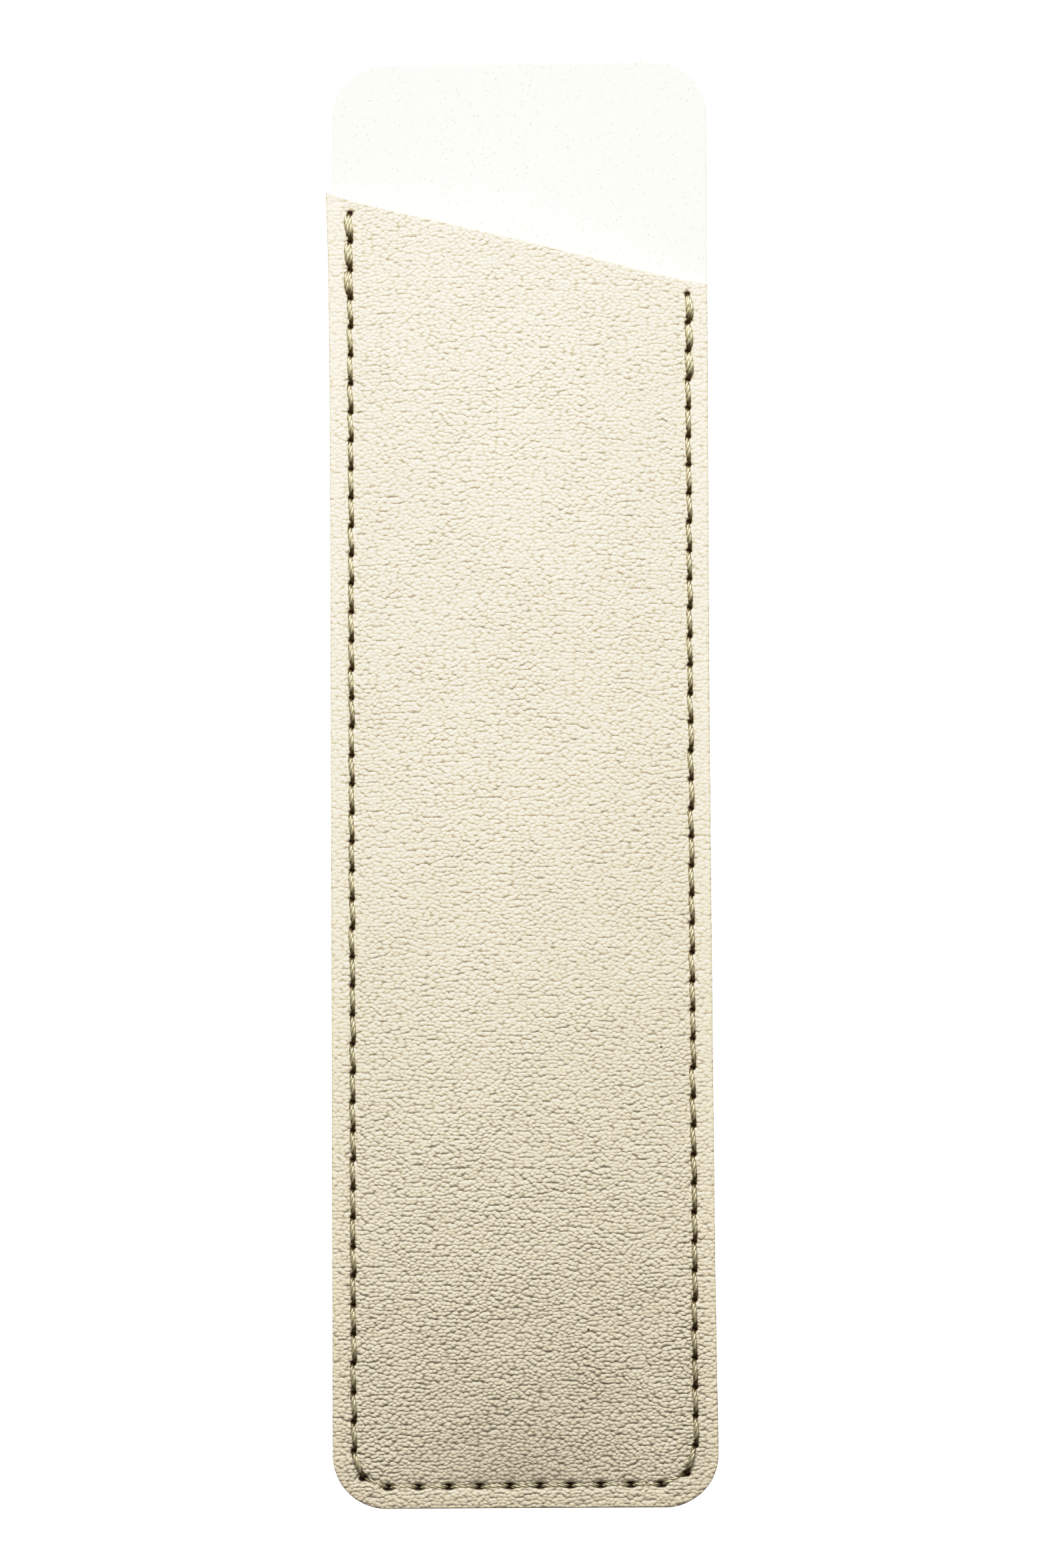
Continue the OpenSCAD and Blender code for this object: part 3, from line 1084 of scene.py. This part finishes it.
class PENSLEEVE_OT_stage(bpy.types.Operator):
    """Pale floor, soft studio light and the camera"""

    bl_idname = "pen_sleeve.stage"
    bl_label = "Stage"

    FLOOR_Z = -0.02 * MM
    KEY_PLACE = Vector((-0.03, 0.42, 0.32))
    KEY_SIZE = 0.2
    TOP_PLACE = Vector((0, 0.21, 0.58))
    TOP_TARGET = Vector((0, 0.024, 0))
    TOP_SOFTNESS = 0.05
    EDGE_LIGHT_PLACES = (Vector((-0.4, -0.36, 0.015)), Vector((0.4, -0.36, 0.015)))
    EDGE_LIGHT_SIZE = 0.06
    FILL_COLOUR = (1.0, 0.95, 0.87, 1)

    def execute(self, context):
        scene = context.scene
        studio = scene.pen_sleeve_studio
        self.make_floor(studio)
        self.make_lights(scene, studio)
        self.make_camera(scene, studio)
        self.set_exposure(scene)
        return {"FINISHED"}

    def make_floor(self, studio):
        shape = bmesh.new()
        bmesh.ops.create_grid(shape, x_segments=1, y_segments=1, size=studio.floor_size / 2)
        bmesh.ops.translate(shape, verts=shape.verts[:], vec=(0, 0, self.FLOOR_Z))
        mesh = bpy.data.meshes.new("floor")
        shape.to_mesh(mesh)
        shape.free()
        mesh.materials.append(floor_finish(Finish("pale_floor")))
        floor = linked("floor", mesh)
        # The floor looks white without throwing light up at the sleeve's edges
        floor.visible_diffuse = False
        floor.visible_glossy = False

    def make_lights(self, scene, studio):
        beam = bpy.data.lights.new("top_light", "SPOT")
        beam.spot_size = studio.top_cone
        beam.spot_blend = 1
        beam.shadow_soft_size = self.TOP_SOFTNESS
        beam.energy = studio.top_power
        self.hang_light(beam, self.TOP_PLACE, self.TOP_TARGET)
        key = self.soft_box("key_light", self.KEY_SIZE, studio.key_power)
        self.hang_light(key, self.KEY_PLACE, Vector())
        for place in self.EDGE_LIGHT_PLACES:
            low_box = self.soft_box("edge_light", self.EDGE_LIGHT_SIZE, studio.edge_power)
            self.hang_light(low_box, place, Vector())
        world = bpy.data.worlds.new("soft_fill")
        world.use_nodes = True
        background = world.node_tree.nodes["Background"]
        background.inputs["Color"].default_value = self.FILL_COLOUR
        background.inputs["Strength"].default_value = studio.fill
        scene.world = world

    def soft_box(self, name, size, energy):
        lamp = bpy.data.lights.new(name, "AREA")
        lamp.shape = "SQUARE"
        lamp.size = size
        lamp.energy = energy
        return lamp

    def hang_light(self, lamp, place, target):
        light = linked(lamp.name, lamp)
        light.location = place
        light.rotation_euler = (target - place).to_track_quat("-Z", "Y").to_euler()

    def make_camera(self, scene, studio):
        lens = bpy.data.cameras.new("camera")
        lens.lens = studio.lens
        lens.clip_start = 10 * MM
        camera = linked("camera", lens)
        turn = Matrix.Rotation(studio.tilt, 4, "X") @ Matrix.Rotation(studio.roll, 4, "Z")
        aim = Vector((studio.aim_x, studio.aim_y, 0))
        back = turn @ Vector((0, 0, studio.distance))
        camera.matrix_world = Matrix.Translation(aim + back) @ turn
        scene.camera = camera

    def set_exposure(self, scene):
        """A plain transform with a soft shoulder, for the photo's pale, slightly bright look."""
        view = scene.view_settings
        view.view_transform = "Standard"
        view.use_curve_mapping = True
        mapping = view.curve_mapping
        mapping.white_level = (WHITE, WHITE, WHITE)
        mapping.extend = "HORIZONTAL"
        curve = mapping.curves[3]
        for light, shown in SHOULDER:
            curve.points.new(light / WHITE, shown)
        mapping.update()


class PENSLEEVE_PT_panel(bpy.types.Panel):
    """Lists the sleeve's sizes, colours and operators"""

    bl_idname = "PENSLEEVE_PT_panel"
    bl_label = "Pen Sleeve"
    bl_space_type = "VIEW_3D"
    bl_region_type = "UI"
    bl_category = "Pen Sleeve"

    def draw(self, context):
        layout = self.layout
        for group in GROUPS:
            settings = getattr(context.scene, GROUPS[group])
            box = layout.box()
            box.label(text=group.__doc__)
            for name in group.__annotations__:
                box.prop(settings, name)
        for operator in OPERATORS:
            layout.operator(operator.bl_idname)


GROUPS = {
    PenSleevePanels: "pen_sleeve_panels",
    PenSleeveSeam: "pen_sleeve_seam",
    PenSleeveFinish: "pen_sleeve_finish",
    PenSleeveStudio: "pen_sleeve_studio",
}
OPERATORS = (
    PENSLEEVE_OT_stage,
    PENSLEEVE_OT_back_leather,
    PENSLEEVE_OT_back_lining,
    PENSLEEVE_OT_front_lining,
    PENSLEEVE_OT_front_leather,
    PENSLEEVE_OT_threads,
)


def register():
    for kind in (*GROUPS, *OPERATORS, PENSLEEVE_PT_panel):
        bpy.utils.register_class(kind)
    for group, name in GROUPS.items():
        setattr(bpy.types.Scene, name, bpy.props.PointerProperty(type=group))


def unregister():
    for name in GROUPS.values():
        delattr(bpy.types.Scene, name)
    for kind in reversed((*GROUPS, *OPERATORS, PENSLEEVE_PT_panel)):
        bpy.utils.unregister_class(kind)


def main():
    register()
    for operator in OPERATORS:
        group, name = operator.bl_idname.split(".")
        getattr(getattr(bpy.ops, group), name)()


if __name__ == "__main__":
    main()
